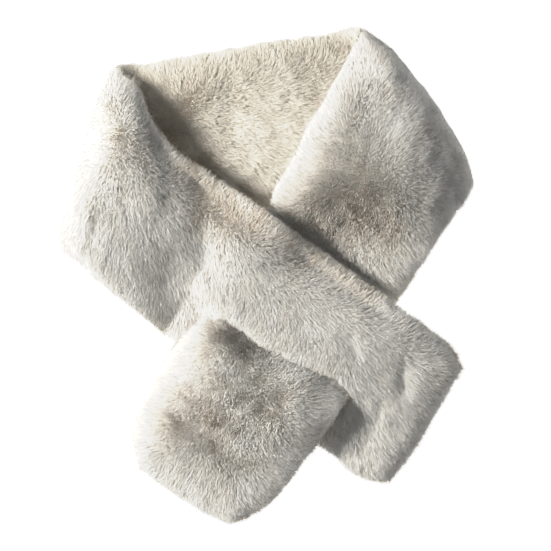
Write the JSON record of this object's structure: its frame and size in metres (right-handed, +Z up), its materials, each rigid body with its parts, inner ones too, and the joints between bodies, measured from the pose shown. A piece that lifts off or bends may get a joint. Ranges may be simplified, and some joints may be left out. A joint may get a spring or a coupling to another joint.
{
  "type": "fur collar wrap",
  "caption": "Short fur scarf collar, furry on both faces, folded and fastened by drawing its end through a slit, lying flat as a soft loop with a pull tab.",
  "frame": {"origin": "on the flat surface the collar lies on, under the middle of its bounding box", "axes": "+Z up off the surface; +Y away from the viewer, from the pull tab towards the neck; +X to the viewer's right, along the neck"},
  "size_m": [0.322, 0.3838, 0.0581],
  "materials": {
    "outer_fur": "ivory and pale grey dense short-pile faux fur with a taupe undercoat",
    "inner_fur": "warm cream dense short-pile faux fur with a taupe undercoat"
  },
  "bodies": {
    "root": {"front_outer": "outer_fur", "front_inner": "inner_fur", "left_fold_outer": "outer_fur", "left_fold_inner": "inner_fur", "neck_outer": "outer_fur", "neck_inner": "inner_fur", "right_fold_outer": "outer_fur", "right_fold_inner": "inner_fur", "tie_outer": "outer_fur", "tie_inner": "inner_fur", "tab_outer": "outer_fur", "tab_inner": "inner_fur"}
  },
  "joints": []
}
